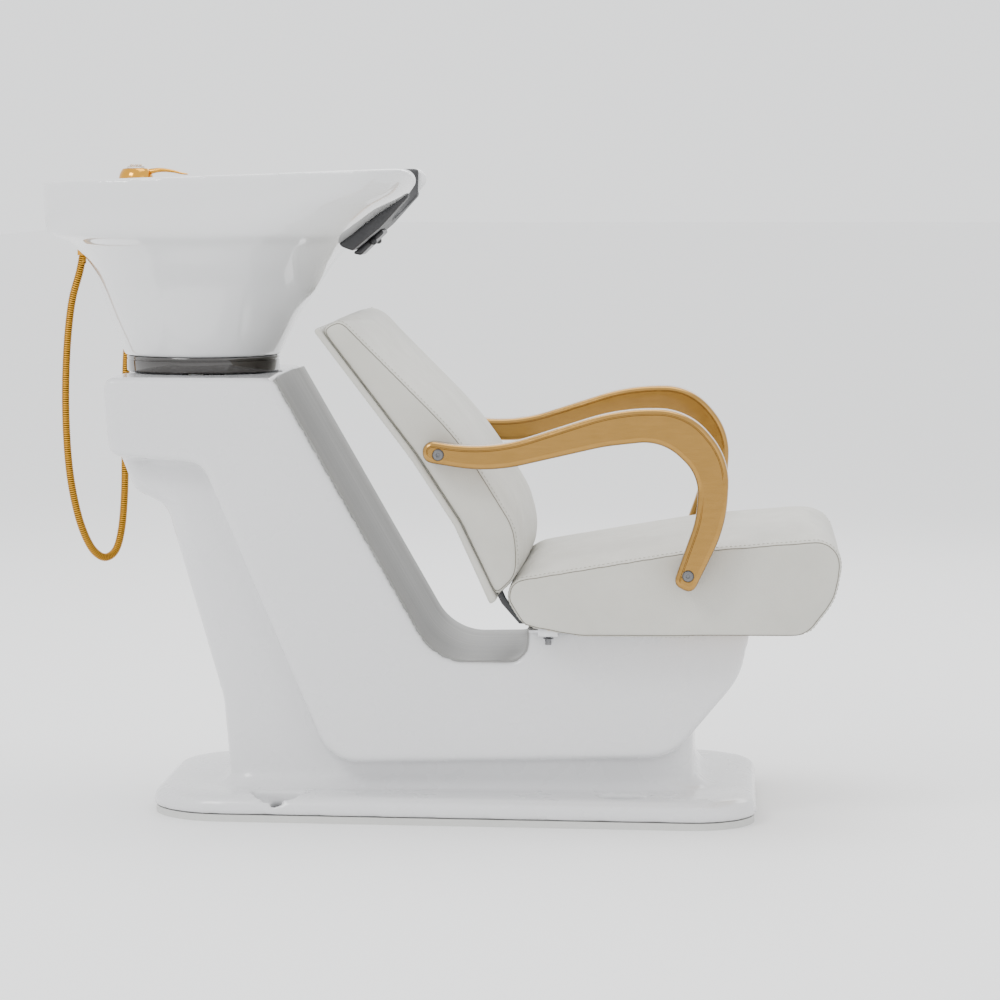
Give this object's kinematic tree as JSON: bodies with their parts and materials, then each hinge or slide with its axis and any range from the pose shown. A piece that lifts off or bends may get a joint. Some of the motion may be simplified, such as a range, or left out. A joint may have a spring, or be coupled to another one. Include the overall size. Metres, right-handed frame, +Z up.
{
  "type": "shampoo backwash unit",
  "caption": "Salon backwash unit: tilting ceramic basin with mixer and spray on a moulded pedestal, with an upholstered seat that slides on rails.",
  "frame": {"origin": "on the floor at the centre of the base and of the four floor-bolt holes", "axes": "+X towards the front of the seat, +Y to the sitter's left, +Z up"},
  "size_m": [1.1418, 0.602, 0.926],
  "materials": {
    "pedestal": "gloss moulded glass-fibre",
    "skirt": "satin",
    "liner": "brushed satin grey laminate",
    "ceramic": "white glaze",
    "steel": "black powder coat",
    "bright_steel": "zinc plated",
    "chrome": "polished",
    "gold": "polished gold plate",
    "arm_gold": "satin champagne gold",
    "hose": "ribbed gold spiral",
    "rubber": "matt black",
    "collar": "gloss black",
    "black_plastic": "satin black",
    "pale_plastic": "satin",
    "grey_pipe": "satin",
    "leather": "ivory, fine grain",
    "ply": "sanded plywood",
    "dark_metal": "dark nickel",
    "crystal": "clear"
  },
  "bodies": {
    "pedestal": {"base_skirt": "skirt", "base_plate": "steel", "floor_pads": "rubber", "base_cover": "pedestal", "pedestal_shell": "pedestal", "front_liner": "liner", "support_frame": "steel", "head_plate": "steel", "bearing_block_left": "steel", "bearing_block_right": "steel", "tilt_bushes": "pale_plastic", "slide_rail_left": "bright_steel", "slide_rail_right": "bright_steel", "slide_buffers": "rubber", "lock_bar": "bright_steel", "access_cover": "pedestal", "access_screws": "bright_steel", "service_bracket": "steel", "drain_pipe": "grey_pipe", "waste_cup": "rubber", "inlet_hot": "bright_steel", "inlet_cold": "bright_steel"},
    "basin": {"basin": "ceramic", "collar": "collar", "tilt_plate": "steel", "tilt_pins": "bright_steel", "waste_outlet": "chrome", "mixer_base": "gold", "mixer_nut": "gold", "handset_holder": "gold", "neck_rest": "rubber", "neck_rest_clip": "black_plastic", "hose_nuts": "gold", "hose": "hose"},
    "strainer": {"strainer": "chrome"},
    "mixer_turn": {"mixer_dome": "gold", "mixer_cap": "crystal"},
    "mixer_lever": {"mixer_lever": "gold"},
    "handset": {"handset_body": "gold", "handset_rose": "black_plastic"},
    "seat": {"carriage": "steel", "glide_pads": "pale_plastic", "seat_frame": "ply", "seat_cushion": "leather", "back_frame": "ply", "back_cushion": "leather", "back_panel": "leather", "hinge_left": "steel", "hinge_right": "steel", "armrest_left": "arm_gold", "armrest_right": "arm_gold", "arm_spacers": "black_plastic", "arm_screws": "dark_metal", "lock_bracket": "bright_steel"},
    "slide_lock": {"lock_pin": "dark_metal"}
  },
  "joints": [
    {"name": "basin_tilt", "type": "hinge", "parent": "pedestal", "child": "basin", "pos_m": [-0.374, 0, 0.62], "axis": [0, 1, 0], "range_deg": [-5, 8]},
    {"name": "seat_slide", "type": "slide", "parent": "pedestal", "child": "seat", "axis": [1, 0, 0], "range_m": [0, 0.14]},
    {"name": "mixer_turn", "type": "hinge", "parent": "basin", "child": "mixer_turn", "pos_m": [-0.488, 0.11, 0.9], "axis": [0, 0, 1], "range_deg": [-50, 50]},
    {"name": "mixer_lift", "type": "hinge", "parent": "mixer_turn", "child": "mixer_lever", "pos_m": [-0.476, 0.11, 0.911], "axis": [0, -1, 0], "range_deg": [0, 22]},
    {"name": "strainer_lift", "type": "slide", "parent": "basin", "child": "strainer", "axis": [0, 0, 1], "range_m": [0, 0.15]},
    {"name": "handset_lift", "type": "slide", "parent": "basin", "child": "handset", "axis": [0, 0, 1], "range_m": [0, 0.06]},
    {"name": "slide_lock", "type": "slide", "parent": "seat", "child": "slide_lock", "axis": [0, 0, 1], "range_m": [0, 0.003]}
  ]
}
